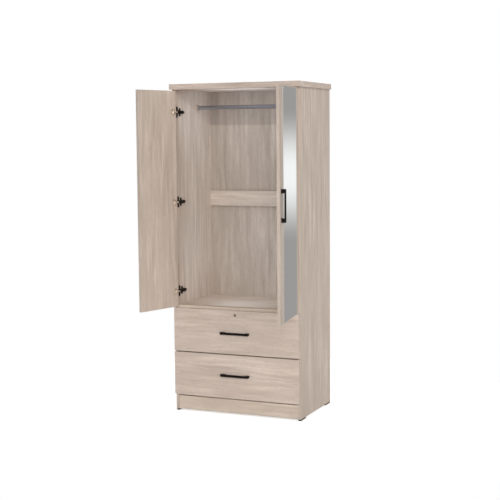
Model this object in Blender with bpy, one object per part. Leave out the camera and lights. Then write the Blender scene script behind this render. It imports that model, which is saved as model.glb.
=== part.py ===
"""Two-door wardrobe with two drawers, a hanging rail and a mirror strip on the wider door.

Metres, +Z up, front towards -Y. The doors stand open and the drawers are shut. The origin lies on the
ground under the middle of the plan box of everything as it stands.
"""
import math

import bmesh
import bpy
from mathutils import Vector

# Carcass
OVERALL_HEIGHT = 1.830
CARCASS_WIDTH = 0.752
CARCASS_DEPTH = 0.480
PANEL_THICKNESS = 0.016
TOP_THICKNESS = 0.030
TOP_SIDE_OVERHANG = 0.009
TOP_FRONT_OVERHANG = 0.022
FOOT_HEIGHT = 0.008
FOOT_LENGTH = 0.075
FOOT_INSET = 0.003
PLINTH_HEIGHT = 0.090
PLINTH_RECESS = 0.006
BACK_THICKNESS = 0.003
BACK_INSET = 0.010
GROOVE_DEPTH = 0.006
BACK_RAIL_HEIGHT = 0.088
BACK_RAIL_ABOVE_FLOOR = 0.533

# Clearances
SEAT_GAP = 0.0003
FRONT_REVEAL = 0.006
SIDE_REVEAL = 0.0025
FRONT_COVER = 0.009
PLINTH_GAP = 0.006

# Doors and mirror; the open angles are those of the rest pose
FRONT_THICKNESS = 0.016
LEFT_DOOR_WIDTH = 0.290
LEFT_OPEN_ANGLE = 107.0
RIGHT_OPEN_ANGLE = 99.0
DOOR_LIMIT_ANGLE = 110.0
MIRROR_SIDE_MARGIN = 0.0705
MIRROR_THICKNESS = 0.003
MIRROR_END_MARGIN = 0.005

# Door hinges: a steel cup let into the door, and an arm on a winged plate on the side panel
HINGE_TOP_INSET = 0.116
HINGE_BOTTOM_INSET = 0.086
CUP_BORE_RADIUS = 0.0175
CUP_TAB = 0.003
CUP_WALL = 0.001
CUP_FLOOR = 0.0007
CUP_SKIN = 0.0032
CUP_RIM_WIDTH = 0.0015
CUP_RIM_THICKNESS = 0.0008
PIN_RADIUS = 0.00125
PIN_CLEARANCE = 0.0001
PIN_END_INSET = 0.0002
KNUCKLE_WALL = 0.00095
CRANK_CLEARANCE = 0.0004
KNUCKLE_FLOOR_CLEARANCE = 0.001
SWING_CLEARANCE = 0.0006
ARM_WIDTH = 0.010
ARM_THICKNESS = 0.002
ARM_TAIL = 0.094
ARM_BODY_WIDTH = 0.018
ARM_NOSE_WIDTH = 0.008
PLATE_THICKNESS = 0.0025
PLATE_START = 0.012
FRONT_WING_LENGTH = 0.016
FRONT_WING_HEIGHT = 0.060
PLATE_WAIST = 0.016
REAR_WING_LENGTH = 0.016
REAR_WING_HEIGHT = 0.044

# Bar handles
HANDLE_LENGTH = 0.168
HANDLE_WIDTH = 0.012
HANDLE_PROJECTION = 0.024
HANDLE_BAR_THICKNESS = 0.008
HANDLE_FOOT_LENGTH = 0.024
HANDLE_FOOT_TAPER = 0.004
HANDLE_CHAMFER = 0.003
DOOR_HANDLE_FROM_EDGE = 0.032
UPPER_HANDLE_DROP = 0.005
LOWER_HANDLE_DROP = -0.008

# Hanging rail
RAIL_RADIUS = 0.011
RAIL_DROP = 0.094
RAIL_SETBACK = 0.273
SOCKET_RADIUS = 0.017
SOCKET_DEPTH = 0.012
SOCKET_FLOOR = 0.003

# Drawers and runners
DRAWER_FRONT_HEIGHT = 0.242
BOX_WALL = 0.012
BOX_HEIGHT = 0.160
BOX_RISE = 0.024
BOX_REAR_CLEARANCE = 0.033
BOX_BOTTOM_THICKNESS = 0.003
BOX_BOTTOM_RISE = 0.010
BOX_GROOVE_DEPTH = 0.005
RUNNER_SPACE = 0.013
RUNNER_HEIGHT = 0.036
RUNNER_GAUGE = 0.0015
RUNNER_PLAY = 0.0004
RUNNER_LAP = 0.003
RUNNER_SETBACK = 0.004
RUNNER_ABOVE_BOX_BASE = 0.050

# Drawer lock
LOCK_DROP = 0.025
LOCK_ROSE_RADIUS = 0.010
LOCK_ROSE_THICKNESS = 0.0015
LOCK_BARREL_RADIUS = 0.0082
LOCK_PLUG_RADIUS = 0.0056
LOCK_TAIL = 0.006
LOCK_CAM_WIDTH = 0.010
LOCK_CAM_REACH = 0.021
LOCK_CAM_THICKNESS = 0.002
KEYWAY_WIDTH = 0.0016
KEYWAY_LENGTH = 0.0066
KEYWAY_DEPTH = 0.003

# Facets of a round outline, and the angle in degrees above which an edge is drawn sharp
ROUND_SIDES = 32
SMALL_SIDES = 24
SHARP_ANGLE = 35.0

# Sizes that follow from the ones above
half_width = CARCASS_WIDTH / 2
inner_half = half_width - PANEL_THICKNESS
top_underside = OVERALL_HEIGHT - TOP_THICKNESS
back_rear = CARCASS_DEPTH - BACK_INSET
back_front = back_rear - BACK_THICKNESS
lower_front_bottom = FOOT_HEIGHT + PLINTH_HEIGHT
base_top = lower_front_bottom + FRONT_COVER
base_bottom = base_top - PANEL_THICKNESS
drawer_pitch = DRAWER_FRONT_HEIGHT + FRONT_REVEAL
door_bottom = lower_front_bottom + 2 * drawer_pitch
door_top = top_underside - FRONT_REVEAL
floor_top = door_bottom + FRONT_COVER
floor_bottom = floor_top - PANEL_THICKNESS
back_rail_bottom = floor_top + BACK_RAIL_ABOVE_FLOOR
back_rail_middle = back_rail_bottom + BACK_RAIL_HEIGHT / 2
fronts_width = CARCASS_WIDTH - 2 * SIDE_REVEAL
right_door_width = fronts_width - FRONT_REVEAL - LEFT_DOOR_WIDTH

cup_radius = CUP_BORE_RADIUS - SEAT_GAP
cup_inner_radius = cup_radius - CUP_WALL
cup_depth = FRONT_THICKNESS - CUP_SKIN - SEAT_GAP
cup_from_edge = CUP_TAB + CUP_BORE_RADIUS
knuckle_radius = PIN_RADIUS + PIN_CLEARANCE + KNUCKLE_WALL
cup_wall_at_arm = math.sqrt(cup_inner_radius ** 2 - (ARM_WIDTH / 2) ** 2)
pin_depth = cup_depth - CUP_FLOOR - KNUCKLE_FLOOR_CLEARANCE - knuckle_radius
overswing = math.radians(DOOR_LIMIT_ANGLE - 90)
rim_height = SEAT_GAP + CUP_RIM_THICKNESS
crank_lean = (pin_depth + rim_height) * math.tan(overswing) + ARM_THICKNESS / 2 / math.cos(overswing)
pin_from_wall = max(crank_lean, knuckle_radius) + CRANK_CLEARANCE
pin_from_edge = cup_from_edge - cup_wall_at_arm + pin_from_wall
front_gap = math.hypot(pin_from_edge, pin_depth) - pin_depth + SWING_CLEARANCE
front_face = -(front_gap + FRONT_THICKNESS)
pin_from_outside = SIDE_REVEAL + pin_from_edge
pin_y = -(front_gap + pin_depth)
over_rim = pin_depth + rim_height + CRANK_CLEARANCE
rim_reach = CUP_BORE_RADIUS + CUP_RIM_WIDTH + pin_from_edge - cup_from_edge
arm_reach = ARM_THICKNESS / 2 + over_rim * math.cos(overswing) + rim_reach * math.sin(overswing)
hinge_heights = {
    "bottom": door_bottom + HINGE_BOTTOM_INSET,
    "middle": (door_bottom + HINGE_BOTTOM_INSET + door_top - HINGE_TOP_INSET) / 2,
    "top": door_top - HINGE_TOP_INSET,
}

box_half_width = inner_half - RUNNER_SPACE
box_inner_half = box_half_width - BOX_WALL
box_front = -front_gap + SEAT_GAP
box_rear = back_front - BOX_REAR_CLEARANCE
runner_rear = box_rear - RUNNER_SETBACK

SIDES = {"left": -1, "right": 1}
BOARD_TO_AXES = {
    "X": lambda u, v, w: (w, u, v),
    "Y": lambda u, v, w: (u, w, v),
    "Z": lambda u, v, w: (u, v, w),
}


def clear_scene():
    for item in list(bpy.data.objects):
        bpy.data.objects.remove(item)


def finish(name, colour, roughness, metallic=0.0):
    """Principled material with a linear colour."""
    material = bpy.data.materials.new(name)
    material.use_nodes = True
    shader = material.node_tree.nodes["Principled BSDF"]
    shader.inputs["Base Color"].default_value = (*colour, 1.0)
    shader.inputs["Roughness"].default_value = roughness
    shader.inputs["Metallic"].default_value = metallic
    return material


def prism(outline, axis, start, end):
    """Closed shape of a flat outline swept along X, Y or Z."""
    to_axes = BOARD_TO_AXES[axis]
    shape = bmesh.new()
    base = shape.faces.new([shape.verts.new(to_axes(u, v, start)) for u, v in outline])
    swept = bmesh.ops.extrude_face_region(shape, geom=[base])
    far_points = [item for item in swept["geom"] if isinstance(item, bmesh.types.BMVert)]
    bmesh.ops.translate(shape, verts=far_points, vec=Vector(to_axes(0.0, 0.0, end - start)))
    bmesh.ops.recalc_face_normals(shape, faces=shape.faces[:])
    return shape


def box(low, high):
    outline = [(low[0], low[1]), (high[0], low[1]), (high[0], high[1]), (low[0], high[1])]
    return prism(outline, "Z", low[2], high[2])


def circle(radius, sides, centre=(0.0, 0.0)):
    turns = [2 * math.pi * (step + 0.5) / sides for step in range(sides)]
    return [(centre[0] + radius * math.cos(turn), centre[1] + radius * math.sin(turn)) for turn in turns]


def loose_object(name, shape):
    mesh = bpy.data.meshes.new(name)
    shape.to_mesh(mesh)
    shape.free()
    piece = bpy.data.objects.new(name, mesh)
    bpy.context.scene.collection.objects.link(piece)
    return piece


def solid(name, base, *steps):
    """Mesh made from a base shape and exact Boolean steps, each an operation and a shape."""
    piece = loose_object(name, base)
    for operation, shape in steps:
        tool = loose_object("tool", shape)
        step = piece.modifiers.new(operation, "BOOLEAN")
        step.operation = operation
        step.solver = "EXACT"
        step.object = tool
        view = bpy.context.evaluated_depsgraph_get()
        view.update()
        result = bpy.data.meshes.new_from_object(piece.evaluated_get(view))
        piece.modifiers.remove(step)
        piece.data = result
        bpy.data.objects.remove(tool)
    mesh = piece.data
    mesh.name = name
    bpy.data.objects.remove(piece)
    return mesh


def place(name, mesh, material, parent, location=(0.0, 0.0, 0.0), smooth=False):
    """Put a mesh in the model as one named piece."""
    if smooth:
        mesh.shade_smooth()
        mesh.set_sharp_from_angle(angle=math.radians(SHARP_ANGLE))
    piece = bpy.data.objects.new(name, mesh)
    bpy.context.scene.collection.objects.link(piece)
    piece.parent = parent
    piece.location = location
    if not mesh.materials:
        mesh.materials.append(material)
    return piece


def pivot(name, parent, location, turn=0.0):
    """Empty that carries a moving group on its joint's axis."""
    carrier = bpy.data.objects.new(name, None)
    bpy.context.scene.collection.objects.link(carrier)
    carrier.parent = parent
    carrier.location = location
    carrier.rotation_euler = (0.0, 0.0, math.radians(turn))
    return carrier


def board(name, low, high, material, parent):
    """Rectangular board placed by its middle."""
    middle = [(a + b) / 2 for a, b in zip(low, high)]
    half = [(b - a) / 2 for a, b in zip(low, high)]
    mesh = solid(name, box([-h for h in half], half))
    return place(name, mesh, material, parent, middle)


def build_side_panel(side, oak, wardrobe):
    sign = SIDES[side]
    outer = sign * half_width
    inner = sign * inner_half
    groove = sign * (inner_half + GROOVE_DEPTH)
    groove_front = back_front - SEAT_GAP
    groove_rear = back_rear + SEAT_GAP
    outline = [
        (outer, 0.0), (inner, 0.0), (inner, groove_front), (groove, groove_front),
        (groove, groove_rear), (inner, groove_rear), (inner, CARCASS_DEPTH), (outer, CARCASS_DEPTH),
    ]
    name = f"side_panel_{side}"
    mesh = solid(name, prism(outline, "Z", FOOT_HEIGHT, top_underside - SEAT_GAP))
    place(name, mesh, oak, wardrobe)


def build_feet(plastic, wardrobe):
    rows = {"front": FOOT_INSET, "rear": CARCASS_DEPTH - FOOT_INSET - FOOT_LENGTH}
    for side, sign in SIDES.items():
        near, far = sorted((sign * inner_half, sign * half_width))
        for row, start in rows.items():
            low = (near, start, 0.0)
            high = (far, start + FOOT_LENGTH, FOOT_HEIGHT - SEAT_GAP)
            board(f"foot_{row}_{side}", low, high, plastic, wardrobe)


def build_carcass(oak, backing, plastic, wardrobe):
    for side in SIDES:
        build_side_panel(side, oak, wardrobe)
    reach = inner_half - SEAT_GAP
    shelf_rear = back_front - SEAT_GAP
    top_half = half_width + TOP_SIDE_OVERHANG
    board("top_board", (-top_half, -TOP_FRONT_OVERHANG, top_underside),
          (top_half, CARCASS_DEPTH, OVERALL_HEIGHT), oak, wardrobe)
    board("wardrobe_floor", (-reach, 0.0, floor_bottom), (reach, shelf_rear, floor_top), oak, wardrobe)
    board("base_panel", (-reach, 0.0, base_bottom), (reach, shelf_rear, base_top), oak, wardrobe)
    plinth_top = base_bottom - PLINTH_GAP
    for row, start in {"front": PLINTH_RECESS, "rear": back_rear - PANEL_THICKNESS}.items():
        board(f"plinth_rail_{row}", (-reach, start, FOOT_HEIGHT),
              (reach, start + PANEL_THICKNESS, plinth_top), oak, wardrobe)
    board("back_rail", (-reach, shelf_rear - PANEL_THICKNESS, back_rail_bottom),
          (reach, shelf_rear, back_rail_bottom + BACK_RAIL_HEIGHT), oak, wardrobe)
    back_half = inner_half + GROOVE_DEPTH - SEAT_GAP
    back_spans = {
        "lower": (base_bottom, back_rail_middle - SEAT_GAP / 2),
        "upper": (back_rail_middle + SEAT_GAP / 2, top_underside - SEAT_GAP),
    }
    for level, (start, end) in back_spans.items():
        board(f"back_panel_{level}", (-back_half, back_front, start), (back_half, back_rear, end),
              backing, wardrobe)
    build_feet(plastic, wardrobe)


def build_hanging_rail(chrome, wardrobe):
    middle = (RAIL_SETBACK, top_underside - RAIL_DROP)
    socket_back = inner_half - SEAT_GAP
    rail_end = socket_back - SOCKET_FLOOR - SEAT_GAP
    rail = solid("hanging_rail", prism(circle(RAIL_RADIUS, ROUND_SIDES), "X", -rail_end, rail_end))
    place("hanging_rail", rail, chrome, wardrobe, (0.0, *middle), smooth=True)
    for side, sign in SIDES.items():
        name = f"rail_socket_{side}"
        mouth = socket_back - SOCKET_DEPTH
        hole_end = socket_back - SOCKET_FLOOR
        body = prism(circle(SOCKET_RADIUS, ROUND_SIDES), "X", sign * mouth, sign * socket_back)
        hole = prism(circle(RAIL_RADIUS + SEAT_GAP, ROUND_SIDES), "X",
                     sign * (mouth - SOCKET_DEPTH), sign * hole_end)
        mesh = solid(name, body, ("DIFFERENCE", hole))
        place(name, mesh, chrome, wardrobe, (0.0, *middle), smooth=True)


def hinge_cup_mesh(sign):
    """Steel cup with a thin rim and its pin; the pin is at the origin, the cup opens towards +Y."""
    centre = (-sign * (cup_from_edge - pin_from_edge), 0.0)
    rim_start = pin_depth + SEAT_GAP
    rim_end = pin_depth + rim_height
    bottom = pin_depth - cup_depth
    wall = prism(circle(cup_radius, ROUND_SIDES, centre), "Y", bottom, rim_end)
    rim = prism(circle(CUP_BORE_RADIUS + CUP_RIM_WIDTH, ROUND_SIDES, centre), "Y", rim_start, rim_end)
    hollow = prism(circle(cup_inner_radius, ROUND_SIDES, centre), "Y",
                   bottom + CUP_FLOOR, rim_end + CUP_RIM_THICKNESS)
    pin_far_side = cup_from_edge - pin_from_edge + PIN_RADIUS
    pin_half = math.sqrt(cup_radius ** 2 - pin_far_side ** 2) - PIN_END_INSET
    pin = prism(circle(PIN_RADIUS, SMALL_SIDES), "Z", -pin_half, pin_half)
    return solid("hinge_cup", wall, ("UNION", rim), ("DIFFERENCE", hollow), ("UNION", pin))


def hinge_arm_mesh(sign):
    """Cranked arm and winged plate as one piece; the pin's axis is at the origin."""
    half = ARM_WIDTH / 2
    lap = KNUCKLE_WALL / 2
    inward = -sign
    crank_in = arm_reach - ARM_THICKNESS / 2
    crank_out = arm_reach + ARM_THICKNESS / 2
    tail = ARM_TAIL - pin_y
    body_start = PLATE_START - pin_y
    crank = [
        (inward * (knuckle_radius - lap), -ARM_THICKNESS / 2), (inward * crank_out, -ARM_THICKNESS / 2),
        (inward * crank_out, body_start + PLATE_WAIST), (inward * crank_in, body_start + PLATE_WAIST),
        (inward * crank_in, ARM_THICKNESS / 2), (inward * (knuckle_radius - lap), ARM_THICKNESS / 2),
    ]
    panel_face = PANEL_THICKNESS - pin_from_outside + SEAT_GAP
    plate_face = panel_face + PLATE_THICKNESS
    body = [
        (body_start, -half), (body_start + FRONT_WING_LENGTH, -ARM_BODY_WIDTH / 2),
        (tail - ARM_BODY_WIDTH, -ARM_BODY_WIDTH / 2), (tail, -ARM_NOSE_WIDTH / 2),
        (tail, ARM_NOSE_WIDTH / 2), (tail - ARM_BODY_WIDTH, ARM_BODY_WIDTH / 2),
        (body_start + FRONT_WING_LENGTH, ARM_BODY_WIDTH / 2), (body_start, half),
    ]
    knuckle = prism(circle(knuckle_radius, SMALL_SIDES), "Z", -half, half)
    steps = [
        ("UNION", prism(crank, "Z", -half, half)),
        ("DIFFERENCE", prism(circle(PIN_RADIUS + PIN_CLEARANCE, SMALL_SIDES), "Z", -ARM_WIDTH, ARM_WIDTH)),
        ("UNION", prism(body, "X", inward * (plate_face - PLATE_THICKNESS / 2), inward * crank_out)),
    ]
    rear_wing_start = body_start + FRONT_WING_LENGTH + PLATE_WAIST
    wings = {
        body_start: (FRONT_WING_LENGTH, FRONT_WING_HEIGHT),
        rear_wing_start: (REAR_WING_LENGTH, REAR_WING_HEIGHT),
    }
    for start, (length, height) in wings.items():
        wing = [(start, -height / 2), (start + length, -height / 2),
                (start + length, height / 2), (start, height / 2)]
        steps.append(("UNION", prism(wing, "X", inward * panel_face, inward * plate_face)))
    return solid("hinge_arm", knuckle, *steps)


def build_hinges(side, carrier, steel, black, wardrobe):
    sign = SIDES[side]
    cup = hinge_cup_mesh(sign)
    arm = hinge_arm_mesh(sign)
    pin_x = sign * (half_width - pin_from_outside)
    for level, height in hinge_heights.items():
        place(f"hinge_cup_{side}_{level}", cup, steel, carrier, (0.0, 0.0, height), smooth=True)
        place(f"hinge_arm_{side}_{level}", arm, black, wardrobe, (pin_x, pin_y, height), smooth=True)


def handle_shape(sweep_axis):
    """Bar on two tapered feet, along the outline's first axis and standing out along its second."""
    end = HANDLE_LENGTH / 2
    foot = end - HANDLE_FOOT_LENGTH
    under = HANDLE_PROJECTION - HANDLE_BAR_THICKNESS
    right_half = [
        (foot, 0.0), (end, 0.0), (end, HANDLE_PROJECTION - HANDLE_CHAMFER),
        (end - HANDLE_CHAMFER, HANDLE_PROJECTION),
    ]
    left_half = [(-u, v) for u, v in reversed(right_half)]
    gap = [(-foot - HANDLE_FOOT_TAPER, under), (foot + HANDLE_FOOT_TAPER, under)]
    outline = [(u, -v) for u, v in right_half + left_half + gap]
    if sweep_axis == "X":
        outline = [(v, u) for u, v in outline]
    return prism(outline, sweep_axis, -HANDLE_WIDTH / 2, HANDLE_WIDTH / 2)


def build_door(side, width, open_angle, oak, steel, black, wardrobe):
    """One door with its cups and handle, modelled shut around its pin and then swung open."""
    sign = SIDES[side]
    pin_x = sign * (half_width - pin_from_outside)
    carrier = pivot(f"{side}_door_pivot", wardrobe, (pin_x, pin_y, 0.0), sign * open_angle)
    hinge_edge = sign * pin_from_edge
    free_edge = -sign * (width - pin_from_edge)
    low_x, high_x = sorted((hinge_edge, free_edge))
    front = pin_depth - FRONT_THICKNESS
    cup_x = -sign * (cup_from_edge - pin_from_edge)
    bores = []
    for height in hinge_heights.values():
        outline = circle(CUP_BORE_RADIUS, ROUND_SIDES, (cup_x, height))
        bore = prism(outline, "Y", pin_depth - cup_depth - SEAT_GAP, pin_depth + FRONT_THICKNESS)
        bores.append(("DIFFERENCE", bore))
    slab = box((low_x, front, door_bottom), (high_x, pin_depth, door_top))
    place(f"door_{side}", solid(f"door_{side}", slab, *bores), oak, carrier)
    build_hinges(side, carrier, steel, black, wardrobe)
    handle_x = free_edge + sign * DOOR_HANDLE_FROM_EDGE
    handle = solid(f"handle_door_{side}", handle_shape("X"))
    place(f"handle_door_{side}", handle, black, carrier,
          (handle_x, front - SEAT_GAP, (door_bottom + door_top) / 2))
    return carrier


def build_mirror(glass, carrier):
    """Glass strip along the middle of the wider door's outer face."""
    hinge_edge = pin_from_edge
    free_edge = hinge_edge - right_door_width
    front = pin_depth - FRONT_THICKNESS - SEAT_GAP
    low = (free_edge + MIRROR_SIDE_MARGIN, front - MIRROR_THICKNESS, door_bottom + MIRROR_END_MARGIN)
    high = (hinge_edge - MIRROR_SIDE_MARGIN, front, door_top - MIRROR_END_MARGIN)
    board("mirror", low, high, glass, carrier)


def runner_outline(web, lip, half_height):
    """Channel section: web at its back, flanges reaching to the lip."""
    step = math.copysign(RUNNER_GAUGE, lip - web)
    inside = half_height - RUNNER_GAUGE
    return [
        (web, -half_height), (lip, -half_height), (lip, -inside), (web + step, -inside),
        (web + step, inside), (lip, inside), (lip, half_height), (web, half_height),
    ]


def build_runner(level, side, height, zinc, wardrobe, carrier):
    """Cabinet channel on the side panel, and the drawer's own channel nested in it."""
    sign = SIDES[side]
    cabinet_web = sign * (inner_half - SEAT_GAP)
    cabinet_lip = sign * (box_half_width + RUNNER_LAP)
    drawer_web = sign * (box_half_width + SEAT_GAP)
    drawer_lip = sign * (inner_half - RUNNER_LAP)
    cabinet_half = RUNNER_HEIGHT / 2
    drawer_half = cabinet_half - RUNNER_GAUGE - RUNNER_PLAY
    outer = runner_outline(cabinet_web, cabinet_lip, cabinet_half)
    inner = runner_outline(drawer_web, drawer_lip, drawer_half)
    members = {
        "cabinet": (outer, wardrobe, height),
        "drawer": (inner, carrier, height - carrier.location.z),
    }
    for member, (outline, parent, rise) in members.items():
        name = f"runner_{member}_{level}_{side}"
        mesh = solid(name, prism(outline, "Y", RUNNER_SETBACK, runner_rear))
        place(name, mesh, zinc, parent, (0.0, 0.0, rise))


def build_box(level, ply, carrier):
    """Drawer box behind its front: two grooved sides, a back and a thin bottom."""
    bottom_low = BOX_RISE + BOX_BOTTOM_RISE
    bottom_high = bottom_low + BOX_BOTTOM_THICKNESS
    box_top = BOX_RISE + BOX_HEIGHT
    for side, sign in SIDES.items():
        outer = sign * box_half_width
        inner = sign * box_inner_half
        groove = sign * (box_inner_half + BOX_GROOVE_DEPTH)
        outline = [
            (outer, BOX_RISE), (inner, BOX_RISE), (inner, bottom_low - SEAT_GAP),
            (groove, bottom_low - SEAT_GAP), (groove, bottom_high + SEAT_GAP),
            (inner, bottom_high + SEAT_GAP), (inner, box_top), (outer, box_top),
        ]
        name = f"drawer_{level}_side_{side}"
        place(name, solid(name, prism(outline, "Y", box_front, box_rear)), ply, carrier)
    back_reach = box_inner_half - SEAT_GAP
    board(f"drawer_{level}_back", (-back_reach, box_rear - BOX_WALL, bottom_high + SEAT_GAP),
          (back_reach, box_rear, box_top), ply, carrier)
    bottom_reach = box_inner_half + BOX_GROOVE_DEPTH - SEAT_GAP
    board(f"drawer_{level}_bottom", (-bottom_reach, box_front, bottom_low),
          (bottom_reach, box_rear, bottom_high), ply, carrier)


def build_lock(steel, carrier):
    """Cam lock near the upper drawer's top edge: a fixed barrel and a turning plug with its cam."""
    middle = (0.0, 0.0, DRAWER_FRONT_HEIGHT - LOCK_DROP)
    rose_rear = front_face - SEAT_GAP
    rose_front = rose_rear - LOCK_ROSE_THICKNESS
    tail = -front_gap + LOCK_TAIL
    barrel = prism(circle(LOCK_BARREL_RADIUS, SMALL_SIDES), "Y", rose_front, tail)
    rose = prism(circle(LOCK_ROSE_RADIUS, SMALL_SIDES), "Y", rose_front, rose_rear)
    hole = prism(circle(LOCK_PLUG_RADIUS + SEAT_GAP, SMALL_SIDES), "Y",
                 rose_front - LOCK_TAIL, tail + LOCK_TAIL)
    housing = solid("lock_barrel", barrel, ("UNION", rose), ("DIFFERENCE", hole))
    place("lock_barrel", housing, steel, carrier, middle, smooth=True)
    cam_front = tail + SEAT_GAP
    cam_rear = cam_front + LOCK_CAM_THICKNESS
    plug = prism(circle(LOCK_PLUG_RADIUS, SMALL_SIDES), "Y", rose_front, cam_rear)
    cam_half = LOCK_CAM_WIDTH / 2
    cam = box((-cam_half, cam_front, -cam_half), (LOCK_CAM_REACH, cam_rear, cam_half))
    keyway = box((-KEYWAY_WIDTH / 2, rose_front - KEYWAY_DEPTH, -KEYWAY_LENGTH / 2),
                 (KEYWAY_WIDTH / 2, rose_front + KEYWAY_DEPTH, KEYWAY_LENGTH / 2))
    turning = solid("lock_plug", plug, ("UNION", cam), ("DIFFERENCE", keyway))
    place("lock_plug", turning, steel, carrier, middle, smooth=True)


def build_drawer(level, order, handle_drop, finishes, wardrobe):
    oak, ply, black, steel, zinc = finishes
    bottom = lower_front_bottom + order * drawer_pitch
    carrier = pivot(f"{level}_drawer_slide", wardrobe, (0.0, 0.0, bottom))
    half = fronts_width / 2
    front = box((-half, front_face, 0.0), (half, -front_gap, DRAWER_FRONT_HEIGHT))
    cuts = []
    if level == "upper":
        outline = circle(LOCK_BARREL_RADIUS + SEAT_GAP, SMALL_SIDES, (0.0, DRAWER_FRONT_HEIGHT - LOCK_DROP))
        cuts = [("DIFFERENCE", prism(outline, "Y", front_face - FRONT_THICKNESS, FRONT_THICKNESS))]
        build_lock(steel, carrier)
    name = f"drawer_{level}_front"
    place(name, solid(name, front, *cuts), oak, carrier)
    handle = solid(f"handle_drawer_{level}", handle_shape("Z"))
    place(f"handle_drawer_{level}", handle, black, carrier,
          (0.0, front_face - SEAT_GAP, DRAWER_FRONT_HEIGHT / 2 - handle_drop))
    build_box(level, ply, carrier)
    for side in SIDES:
        build_runner(level, side, bottom + BOX_RISE + RUNNER_ABOVE_BOX_BASE, zinc, wardrobe, carrier)


def stand_on_origin(wardrobe):
    """Move the whole model so that the middle of its plan box is over the origin."""
    bpy.context.view_layer.update()
    pieces = [item for item in bpy.context.scene.objects if item.type == "MESH"]
    corners = [item.matrix_world @ vertex.co for item in pieces for vertex in item.data.vertices]
    middle = [(min(c[axis] for c in corners) + max(c[axis] for c in corners)) / 2 for axis in (0, 1)]
    wardrobe.location = (-middle[0], -middle[1], 0.0)
    bpy.context.view_layer.update()


def main():
    clear_scene()
    oak = finish("oak_grain_laminate", (0.56, 0.47, 0.40), 0.5)
    backing = finish("printed_hardboard", (0.54, 0.45, 0.38), 0.6)
    ply = finish("drawer_board", (0.58, 0.50, 0.43), 0.6)
    black = finish("black_coated_zinc", (0.012, 0.011, 0.010), 0.45, 0.6)
    steel = finish("satin_nickel_steel", (0.55, 0.53, 0.50), 0.35, 1.0)
    zinc = finish("zinc_plated_steel", (0.60, 0.61, 0.62), 0.4, 1.0)
    chrome = finish("chromed_tube", (0.55, 0.55, 0.60), 0.15, 1.0)
    glass = finish("silvered_glass", (0.80, 0.82, 0.83), 0.02, 1.0)
    plastic = finish("black_plastic", (0.015, 0.015, 0.015), 0.5)

    wardrobe = pivot("wardrobe", None, (0.0, 0.0, 0.0))
    build_carcass(oak, backing, plastic, wardrobe)
    build_hanging_rail(chrome, wardrobe)
    build_door("left", LEFT_DOOR_WIDTH, LEFT_OPEN_ANGLE, oak, steel, black, wardrobe)
    right_carrier = build_door("right", right_door_width, RIGHT_OPEN_ANGLE, oak, steel, black, wardrobe)
    build_mirror(glass, right_carrier)
    drawer_finishes = (oak, ply, black, steel, zinc)
    build_drawer("lower", 0, LOWER_HANDLE_DROP, drawer_finishes, wardrobe)
    build_drawer("upper", 1, UPPER_HANDLE_DROP, drawer_finishes, wardrobe)
    stand_on_origin(wardrobe)


main()
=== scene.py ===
"""Looks of the wardrobe: printed oak board, black coated metal, mirror glass, studio and camera."""
import math

import bmesh
import bpy
from mathutils import Matrix, Vector


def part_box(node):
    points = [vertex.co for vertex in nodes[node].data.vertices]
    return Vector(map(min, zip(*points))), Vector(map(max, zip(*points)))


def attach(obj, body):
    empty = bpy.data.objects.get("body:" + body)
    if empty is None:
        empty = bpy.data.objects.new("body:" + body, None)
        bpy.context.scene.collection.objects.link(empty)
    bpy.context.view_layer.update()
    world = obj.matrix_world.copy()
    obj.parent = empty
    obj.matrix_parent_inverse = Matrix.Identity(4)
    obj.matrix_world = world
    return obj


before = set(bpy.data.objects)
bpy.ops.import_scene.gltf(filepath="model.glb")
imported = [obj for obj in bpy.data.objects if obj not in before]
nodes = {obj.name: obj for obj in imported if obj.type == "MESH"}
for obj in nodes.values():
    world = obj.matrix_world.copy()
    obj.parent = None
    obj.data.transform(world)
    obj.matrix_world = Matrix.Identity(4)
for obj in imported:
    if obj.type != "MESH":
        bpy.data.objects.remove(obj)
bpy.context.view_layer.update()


# Tools for the materials
def linear(hex_colour):
    """sRGB hex as a linear colour with full alpha."""
    channels = [int(hex_colour[start:start + 2], 16) / 255 for start in (1, 3, 5)]
    return [c / 12.92 if c <= 0.04045 else ((c + 0.055) / 1.055) ** 2.4 for c in channels] + [1.0]


def add(tree, kind, inputs, **settings):
    """One node with its settings; an input is a plain value or the output of another node."""
    node = tree.nodes.new(f"ShaderNode{kind}")
    for name, value in settings.items():
        setattr(node, name, value)
    for socket, value in inputs.items():
        if isinstance(value, bpy.types.NodeSocket):
            tree.links.new(value, node.inputs[socket])
        else:
            node.inputs[socket].default_value = value
    return node


def per_metre(millimetres):
    """Noise scale whose features are that wide."""
    return 1000.0 / millimetres


def new_material(name):
    """A material with no nodes yet, and its node tree."""
    material = bpy.data.materials.new(name)
    material.use_nodes = True
    tree = material.node_tree
    tree.nodes.clear()
    return material, tree


# Noise lies mostly between these values
NOISE_LOW = 0.3
NOISE_HIGH = 0.7

# Grain runs: what a step along each axis counts for in the print, so streaks are far longer than wide
ALONG_GRAIN = 0.07
UPRIGHT = (1.0, 1.0, ALONG_GRAIN)
ACROSS = (ALONG_GRAIN, 1.0, 1.0)
FRONT_TO_BACK = (1.0, ALONG_GRAIN, 1.0)

# Widths in the oak print: clouds of lively and calm figure, and the streaks in them
CLOUD_MM = 110
STREAK_MM = 22
# Fibres are really under half a millimetre wide; they are drawn coarser so that they show
FIBRE_MM = 2.5
# Clouds stretch less along the grain than streaks do, and push the streaks aside by up to 30 mm
CLOUD_ALONG_GRAIN = 0.3
STREAK_BEND = 0.03
# Cloud value from which the streaks show in full, and the middle tones that calm places keep to
LIVELY = 0.6
CALM_LOW = 0.43
CALM_HIGH = 0.57
# Figure values that take the dark and the light colour
DARK_AT = 0.34
LIGHT_AT = 0.66
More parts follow.
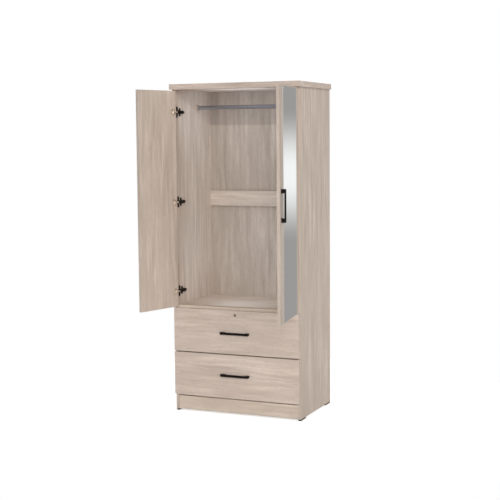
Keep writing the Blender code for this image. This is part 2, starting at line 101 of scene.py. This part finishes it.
# Fibre values at which pores start and are deepest, and how far they then take the pore colour
PORE_START = 0.56
PORE_FULL = 0.72
PORE_TINT = 0.45
PORE_DEPTH = 0.0002
PORE_RELIEF = 0.2
# Roughness and IOR of the matt resin skin
RESIN_ROUGH = (0.56, 0.7)
RESIN_IOR = 1.5
# A face whose normal points back by more than this is the wall side
WALL_SIDE = 0.5


def printed_oak(name, run, light, dark, pore, reverse=None):
    """Melamine-faced chipboard: printed oak paper pressed under a matt resin skin with fine pore lines.

    The eye sees soft pale and greyish streaks along the grain, thin darker fibres in them, and a dull
    even sheen that varies a little with the streaks. Each board is cut from its own place in the print.
    Two reverse colours leave the side towards the wall as raw mottled hardboard.
    """
    material, tree = new_material(name)
    place = add(tree, "TexCoord", {}).outputs
    own_cut = add(tree, "ObjectInfo", {}).outputs["Random"]
    cut = add(tree, "VectorMath", {0: place["Object"], 1: own_cut}, operation="ADD").outputs[0]
    slack = [CLOUD_ALONG_GRAIN if share < 1 else 1.0 for share in run]
    slow = add(tree, "VectorMath", {0: cut, 1: slack}, operation="MULTIPLY").outputs[0]
    clouds = add(tree, "TexNoise", {"Vector": slow, "Scale": per_metre(CLOUD_MM), "Detail": 2.0}).outputs
    drift = [0.0 if share < 1 else STREAK_BEND for share in run]
    bent = add(tree, "VectorMath", {0: clouds["Color"], 1: drift, 2: cut},
               operation="MULTIPLY_ADD").outputs[0]
    along = add(tree, "VectorMath", {0: bent, 1: run}, operation="MULTIPLY").outputs[0]
    streaks = add(tree, "TexNoise", {"Vector": along, "Scale": per_metre(STREAK_MM), "Detail": 3.0,
                                     "Roughness": 0.55}).outputs["Fac"]
    fibres = add(tree, "TexNoise", {"Vector": along, "Scale": per_metre(FIBRE_MM),
                                    "Detail": 1.0}).outputs["Fac"]
    lively = add(tree, "MapRange", {"Value": clouds["Fac"], "From Min": NOISE_LOW,
                                    "From Max": LIVELY}).outputs["Result"]
    calm = add(tree, "MapRange", {"Value": clouds["Fac"], "From Min": NOISE_LOW, "From Max": NOISE_HIGH,
                                  "To Min": CALM_LOW, "To Max": CALM_HIGH}).outputs["Result"]
    figure = add(tree, "Mix", {"Factor": lively, "A": calm, "B": streaks}).outputs["Result"]
    tone = add(tree, "MapRange", {"Value": figure, "From Min": DARK_AT,
                                  "From Max": LIGHT_AT}).outputs["Result"]
    colour = add(tree, "Mix", {"Factor": tone, "A": linear(dark), "B": linear(light)},
                 data_type="RGBA").outputs[2]
    pores = add(tree, "MapRange", {"Value": fibres, "From Min": PORE_START, "From Max": PORE_FULL,
                                   "To Max": PORE_TINT}).outputs["Result"]
    colour = add(tree, "Mix", {"Factor": pores, "A": colour, "B": linear(pore)},
                 data_type="RGBA").outputs[2]
    if reverse:
        facing = add(tree, "SeparateXYZ", {"Vector": place["Normal"]}).outputs["Y"]
        wall_side = add(tree, "Math", {0: facing, 1: WALL_SIDE}, operation="GREATER_THAN").outputs[0]
        raw = add(tree, "Mix", {"Factor": clouds["Fac"], "A": linear(reverse[0]), "B": linear(reverse[1])},
                  data_type="RGBA").outputs[2]
        colour = add(tree, "Mix", {"Factor": wall_side, "A": colour, "B": raw},
                     data_type="RGBA").outputs[2]
    dull = add(tree, "MapRange", {"Value": streaks, "From Min": NOISE_LOW, "From Max": NOISE_HIGH,
                                  "To Min": RESIN_ROUGH[0], "To Max": RESIN_ROUGH[1]}).outputs["Result"]
    skin = add(tree, "Bump", {"Strength": PORE_RELIEF, "Distance": PORE_DEPTH, "Height": fibres},
               invert=True).outputs["Normal"]
    board = add(tree, "BsdfPrincipled", {"Base Color": colour, "Roughness": dull, "Normal": skin,
                                         "IOR": RESIN_IOR})
    add(tree, "OutputMaterial", {"Surface": board.outputs["BSDF"]})
    return material


# Where the hinges' black cover starts, just in front of the side panels' front edges
COVER_FRONT = -0.0035
COAT_RELIEF = 0.25


def coated(name, colour, rough, grit_mm, depth, metallic=0.0, shine=0.5, bare_crank=None):
    """A coat, plating or moulded skin with an even fine grain in its gloss and surface.

    Tumbled and turned grain is really a tenth of a millimetre or less; it is drawn coarser.
    A bare crank is the colour of the plated steel that a hinge arm shows in front of its black cover.
    """
    material, tree = new_material(name)
    place = add(tree, "TexCoord", {}).outputs["Object"]
    grit = add(tree, "TexNoise", {"Vector": place, "Scale": per_metre(grit_mm),
                                  "Detail": 2.0}).outputs["Fac"]
    gloss = add(tree, "MapRange", {"Value": grit, "From Min": NOISE_LOW, "From Max": NOISE_HIGH,
                                   "To Min": rough[0], "To Max": rough[1]}).outputs["Result"]
    grain = add(tree, "Bump", {"Strength": COAT_RELIEF, "Distance": depth, "Height": grit}).outputs["Normal"]
    tint = linear(colour)
    if bare_crank:
        depth_in = add(tree, "SeparateXYZ", {"Vector": place}).outputs["Y"]
        metallic = add(tree, "Math", {0: depth_in, 1: COVER_FRONT}, operation="LESS_THAN").outputs[0]
        tint = add(tree, "Mix", {"Factor": metallic, "A": tint, "B": linear(bare_crank)},
                   data_type="RGBA").outputs[2]
    coat = add(tree, "BsdfPrincipled", {"Base Color": tint, "Metallic": metallic, "Roughness": gloss,
                                        "Normal": grain, "Specular IOR Level": shine})
    add(tree, "OutputMaterial", {"Surface": coat.outputs["BSDF"]})
    return material


# Printed oak boards: one print, its grain along each board and its tone as on that board in the photograph
oak_upright = printed_oak("printed_oak_upright", UPRIGHT, "#DACABD", "#BBAB9C", "#A7978B")
oak_across = printed_oak("printed_oak_across", ACROSS, "#DDCCBF", "#BFAD9F", "#AA998D")
# The wardrobe floor and plinth rails take the same print painted lighter: painted light against the shade
# low down and under the drawer fronts
oak_painted_light = printed_oak("printed_oak_floor", ACROSS, "#E2D2C2", "#C3B2A2", "#AE9E90")
# The back rail takes the same print painted darker: painted shade for its place at the back of the hanging
# space
oak_painted_shade = printed_oak("printed_oak_back_rail", ACROSS, "#CBBBAC", "#AE9E8F", "#9B8C7F")
# Hardboard back sheets: the same print in a greyer tone, with raw brown fibre towards the wall
back_print = printed_oak("printed_hardboard", UPRIGHT, "#B4A598", "#988A7C", "#88796D",
                         reverse=("#A98463", "#7B5B40"))
# Paper foil on the drawer boxes: the print with less contrast
drawer_foil = printed_oak("foil_faced_drawer_board", FRONT_TO_BACK, "#D8CBBE", "#C4B5A7", "#B3A394")

METAL = 1.0
NICKEL = "#EADFD2"
SATIN_BLACK = {"colour": "#0D0805", "rough": (0.4, 0.52), "grit_mm": 0.8, "depth": 0.00004, "shine": 0.15}
# Powder coat on cast zinc: satin black with a faint orange-peel grain
powder_coat = coated("black_powder_coat", **SATIN_BLACK)
# The same black on the hinges' cover and plate, with the crank in front of it left in nickel plate
hinge_coat = coated("black_coated_hinge", bare_crank=NICKEL, **SATIN_BLACK)
# Black-passivated zinc on the hinges' screws: a dark metal glint
black_zinc = coated("black_passivated_zinc", "#1C1815", rough=(0.3, 0.42), grit_mm=0.8, depth=0.00001,
                    metallic=METAL)
# Moulded polypropylene feet: matt black
moulded_foot = coated("black_moulded_polypropylene", "#17130F", rough=(0.5, 0.62), grit_mm=1.2,
                      depth=0.00005)
# Nickel plate on pressed steel, tumbled to a pale satin
nickel_plate = coated("satin_nickel_plate", NICKEL, rough=(0.5, 0.65), grit_mm=1.5, depth=0.00002,
                      metallic=METAL)
# Die-cast zinc rose of the lock, tumbled: a dull ring a little darker than the board
lock_zinc = coated("tumbled_die_cast_zinc", "#C4B9AC", rough=(0.5, 0.65), grit_mm=1.5, depth=0.00002,
                   metallic=METAL)
# Turned steel plug painted dark brown: painted shade of the keyway, so that it reads as a dark spot in the
# rose
plug_painted_shade = coated("oil_browned_steel", "#826C5A", rough=(0.45, 0.58), grit_mm=1.0, depth=0.00002,
                       metallic=METAL)
# Bright zinc plate on rolled steel: slightly cloudy grey
zinc_plate = coated("bright_zinc_plate", "#B4B6B8", rough=(0.3, 0.46), grit_mm=6.0, depth=0.00003,
                    metallic=METAL)
# Matt chrome on drawn steel tube: a bluish grey bar with one soft light line
chrome_tube = coated("matt_chromed_steel_tube", "#A8ACB8", rough=(0.26, 0.36), grit_mm=3.0, depth=0.00001,
                     metallic=METAL)
# Silvered float glass: clear reflection, faintly uneven
silvered_glass = coated("silvered_float_glass", "#EDF0EE", rough=(0.0, 0.02), grit_mm=60.0, depth=0.000001,
                        metallic=METAL)

# Each finish goes on the pieces whose names start so
FINISHES = {
    oak_upright: ("side_panel", "door_"),
    oak_across: ("top_board", "base_panel", "drawer_lower_front", "drawer_upper_front"),
    oak_painted_light: ("wardrobe_floor", "plinth_rail"),
    oak_painted_shade: ("back_rail",),
    back_print: ("back_panel",),
    drawer_foil: ("drawer_lower_side", "drawer_upper_side", "drawer_lower_b", "drawer_upper_b"),
    powder_coat: ("handle_",),
    hinge_coat: ("hinge_arm",),
    moulded_foot: ("foot_",),
    nickel_plate: ("hinge_cup", "rail_socket"),
    lock_zinc: ("lock_barrel",),
    plug_painted_shade: ("lock_plug",),
    zinc_plate: ("runner_",),
    chrome_tube: ("hanging_rail",),
    silvered_glass: ("mirror",),
}
# Widths of the eased edges of boards and handles, and the angle from which an edge is eased
BOARDS = (oak_upright, oak_across, oak_painted_light, oak_painted_shade, back_print, drawer_foil)
BOARD_EDGE = 0.0005
HANDLE_EDGE = 0.0009
EDGE_STEPS = 2
EDGE_ANGLE = math.radians(40)

for finish, starts in FINISHES.items():
    for name, node in nodes.items():
        if name.startswith(starts):
            node.data.materials.clear()
            node.data.materials.append(finish)
            if finish in BOARDS or finish is powder_coat:
                edge = node.modifiers.new("eased_edges", "BEVEL")
                edge.width = BOARD_EDGE if finish in BOARDS else HANDLE_EDGE
                edge.segments = EDGE_STEPS
                edge.limit_method = "ANGLE"
                edge.angle_limit = EDGE_ANGLE

# Hinge screws: a low turned head with a cross recess that narrows towards its bottom
HEAD_RADIUS = 0.0036
HEAD_RISE = 0.0008
HEAD_SUNK = 0.0006
HEAD_FLAT = 0.8
CROSS_REACH = 0.0021
CROSS_HALF_WIDTH = 0.00045
CROSS_DEPTH = 0.001
CROSS_TAPER = 0.7
# Two screws hold the ends of each plate's front wing, and two in the arm adjust the door
WING_SCREW_INSET = 0.008
ARM_SCREWS_FROM_TAIL = (0.026, 0.058)
# Points this close to the top of a hinge are on its wing's end
END_SLACK = 0.0001


def add_screw_head(mesh, centre, inward):
    """One closed head on the centre point, standing out towards the middle of the wardrobe."""
    half = CROSS_HALF_WIDTH
    middle = (CROSS_REACH + half) / 2
    quarter = ((CROSS_REACH, 0.0), (CROSS_REACH, half), (middle, half),
               (half, half), (half, middle), (half, CROSS_REACH))
    turned = []
    cross = []
    for turn in range(4):
        spin = Matrix.Rotation(math.radians(90 * turn), 2)
        for step, corner in enumerate(quarter):
            swing = Matrix.Rotation(math.radians(90 / len(quarter) * step), 2)
            cross.append(spin @ Vector(corner))
            turned.append(spin @ swing @ Vector((HEAD_RADIUS, 0.0)))
    profile = ((turned, 1.0, -HEAD_SUNK), (turned, 1.0, HEAD_RISE / 2), (turned, HEAD_FLAT, HEAD_RISE),
               (cross, 1.0, HEAD_RISE), (cross, CROSS_TAPER, HEAD_RISE - CROSS_DEPTH))
    rings = []
    for outline, size, rise in profile:
        rings.append([mesh.verts.new(centre + Vector((inward * rise, size * point.x, size * point.y)))
                      for point in outline])
    for lower, upper in zip(rings, rings[1:]):
        for here in range(len(lower)):
            mesh.faces.new((lower[here - 1], lower[here], upper[here], upper[here - 1]))
    mesh.faces.new(rings[0])
    mesh.faces.new(rings[-1])


for name, arm in nodes.items():
    if name.startswith("hinge_arm"):
        low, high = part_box(name)
        inward = -1.0 if low[0] > 0 else 1.0
        arm_face = low[0] if low[0] > 0 else high[0]
        arm_middle = (low[2] + high[2]) / 2
        wing_end = [corner.co for corner in arm.data.vertices if corner.co.z > high[2] - END_SLACK]
        wing_face = min((corner.x for corner in wing_end), key=abs)
        wing_middle = (min(corner.y for corner in wing_end) + max(corner.y for corner in wing_end)) / 2
        heads = bmesh.new()
        for above_floor in (low[2] + WING_SCREW_INSET, high[2] - WING_SCREW_INSET):
            add_screw_head(heads, Vector((wing_face, wing_middle, above_floor)), inward)
        for from_tail in ARM_SCREWS_FROM_TAIL:
            add_screw_head(heads, Vector((arm_face, high[1] - from_tail, arm_middle)), inward)
        bmesh.ops.recalc_face_normals(heads, faces=heads.faces)
        screw_mesh = bpy.data.meshes.new(name.replace("arm", "screws"))
        heads.to_mesh(screw_mesh)
        heads.free()
        screw_mesh.materials.append(black_zinc)
        screws = bpy.data.objects.new(screw_mesh.name, screw_mesh)
        bpy.context.scene.collection.objects.link(screws)
        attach(screws, "carcass")

# Studio: even light all round, a soft box at the right, one near the camera, and a small key light for the
# crisp shade under the cornice
AMBIENT = 0.48
# How the even light leans: more of it from behind, where no other light reaches
LEAN = (0.0, 0.3, 0.0)
WHITE = linear("#FFFFFF")
# What mirror and metal show of the room: grey, with a soft white band along the skyline. The band's foot
# and head fade over these heights of the looking direction
ROOM_GREY = linear("#A29F9F")
BAND_FOOT = (-0.0905, -0.0355)
BAND_HEAD = (-0.027, 0.026)

world = bpy.data.worlds.new("studio")
world.use_nodes = True
bpy.context.scene.world = world
sky = world.node_tree
sky.nodes.clear()
rays = add(sky, "LightPath", {}).outputs
way = add(sky, "TexCoord", {}).outputs["Generated"]
skyward = add(sky, "SeparateXYZ", {"Vector": way}).outputs["Z"]
leaning = add(sky, "VectorMath", {0: way, 1: LEAN}, operation="DOT_PRODUCT").outputs["Value"]
around = add(sky, "Math", {0: leaning, 1: AMBIENT}, operation="ADD").outputs[0]
foot = add(sky, "MapRange", {"Value": skyward, "From Min": BAND_FOOT[0], "From Max": BAND_FOOT[1]},
           interpolation_type="SMOOTHSTEP").outputs["Result"]
head = add(sky, "MapRange", {"Value": skyward, "From Min": BAND_HEAD[0], "From Max": BAND_HEAD[1],
                             "To Min": 1.0, "To Max": 0.0},
           interpolation_type="SMOOTHSTEP").outputs["Result"]
band = add(sky, "Math", {0: foot, 1: head}, operation="MULTIPLY").outputs[0]
mirrored = add(sky, "Mix", {"Factor": band, "A": ROOM_GREY, "B": WHITE}, data_type="RGBA").outputs[2]
even = add(sky, "Background", {"Color": WHITE, "Strength": around}).outputs[0]
shown = add(sky, "Background", {"Color": mirrored, "Strength": 1.0}).outputs[0]
white = add(sky, "Background", {"Color": WHITE, "Strength": 1.0}).outputs[0]
through = add(sky, "Math", {0: rays["Is Glossy Ray"], 1: rays["Is Transmission Ray"]},
              operation="MAXIMUM").outputs[0]
lit = add(sky, "MixShader", {0: through, 1: even, 2: shown}).outputs[0]
seen = add(sky, "MixShader", {0: rays["Is Camera Ray"], 1: lit, 2: white}).outputs[0]
add(sky, "OutputWorld", {"Surface": seen})

# Each sun: strength, degrees right of the wardrobe's front, degrees up, width in degrees
SUNS = {"right_softbox": (1.15, 45.0, 10.0, 55.0), "front_softbox": (0.42, 20.0, 4.0, 20.0),
        "key": (0.8, 20.0, 20.3, 1.0)}
# Dim panels in the opening, behind the shut doors, lift the hanging space to nearly the tone of the fronts,
# as in the photograph. Each panel: watts, width and height, height of its middle above the floor
FILLS = {"upper_fill": (1.25, (0.34, 0.14), 1.65), "lower_fill": (1.06, (0.30, 0.36), 0.87)}
FILL_DEPTH = -0.003
FILL_TINT = linear("#DAECFF")[:3]
# Pieces that cast no shade in a light, where the photograph shows none
NO_SHADE = {"key": ("door_right", "mirror", "handle_door_right"),
            "upper_fill": ("hanging_rail", "rail_socket_left", "rail_socket_right")}


def cast_no_shade(lamp):
    """Let a light pass the pieces that are listed for it."""
    if lamp.name in NO_SHADE:
        passed = bpy.data.collections.new(f"no_shade_in_{lamp.name}")
        for piece in NO_SHADE[lamp.name]:
            passed.objects.link(nodes[piece])
        for row in passed.collection_objects:
            row.light_linking.link_state = "EXCLUDE"
        lamp.light_linking.blocker_collection = passed


for name, (strength, side, climb, width) in SUNS.items():
    light = bpy.data.lights.new(name, "SUN")
    light.energy = strength
    light.angle = math.radians(width)
    sun = bpy.data.objects.new(name, light)
    sun.rotation_euler = (math.radians(90 - climb), 0.0, math.radians(side))
    bpy.context.scene.collection.objects.link(sun)
    cast_no_shade(sun)

for name, (watts, (wide, tall), above_floor) in FILLS.items():
    light = bpy.data.lights.new(name, "AREA")
    light.shape = "RECTANGLE"
    light.size = wide
    light.size_y = tall
    light.energy = watts
    light.color = FILL_TINT
    panel = bpy.data.objects.new(name, light)
    panel.location = (0.0, FILL_DEPTH, above_floor)
    panel.rotation_euler = (math.radians(90), 0.0, 0.0)
    panel.visible_camera = False
    panel.visible_glossy = False
    bpy.context.scene.collection.objects.link(panel)
    cast_no_shade(panel)

# White painted studio floor, lifted to white for the camera; it keeps the soft shadow at the feet
FLOOR_PAINT = linear("#EAEAEA")
FLOOR_ROUGH = 0.9
FLOOR_LIFT = 0.62
FLOOR_RADIUS = 1.75
FLOOR_CORNERS = 96

floor_paint, tree = new_material("white_studio_floor")
camera_ray = add(tree, "LightPath", {}).outputs["Is Camera Ray"]
lift = add(tree, "Math", {0: camera_ray, 1: FLOOR_LIFT}, operation="MULTIPLY").outputs[0]
paint = add(tree, "BsdfPrincipled", {"Base Color": FLOOR_PAINT, "Roughness": FLOOR_ROUGH,
                                     "Specular IOR Level": 0.0, "Emission Color": WHITE,
                                     "Emission Strength": lift})
add(tree, "OutputMaterial", {"Surface": paint.outputs["BSDF"]})
bpy.ops.mesh.primitive_circle_add(vertices=FLOOR_CORNERS, radius=FLOOR_RADIUS, fill_type="NGON",
                                  location=(0, 0, 0))
floor = bpy.context.object
floor.name = "studio_floor"
floor.data.materials.append(floor_paint)

# Camera fitted to the photograph's corners
CAMERA_PLACE = (2.5706, -5.7992, 1.5321)
TURN = math.radians(23.2255)
DIP = math.radians(5.5123)
ROLL = math.radians(-0.4834)
LENS_MM = 83.62
SENSOR_MM = 36.0

camera_data = bpy.data.cameras.new("camera")
camera_data.sensor_width = SENSOR_MM
camera_data.lens = LENS_MM
camera = bpy.data.objects.new("camera", camera_data)
bpy.context.scene.collection.objects.link(camera)
ahead = Vector((-math.sin(TURN) * math.cos(DIP), math.cos(TURN) * math.cos(DIP), -math.sin(DIP)))
level = Vector((math.cos(TURN), math.sin(TURN), 0.0))
above = level.cross(ahead)
right = level * math.cos(ROLL) + above * math.sin(ROLL)
up = above * math.cos(ROLL) - level * math.sin(ROLL)
pose = Matrix((right, up, -ahead)).transposed().to_4x4()
pose.translation = CAMERA_PLACE
camera.matrix_world = pose
bpy.context.scene.camera = camera
bpy.context.scene.view_settings.view_transform = "Standard"
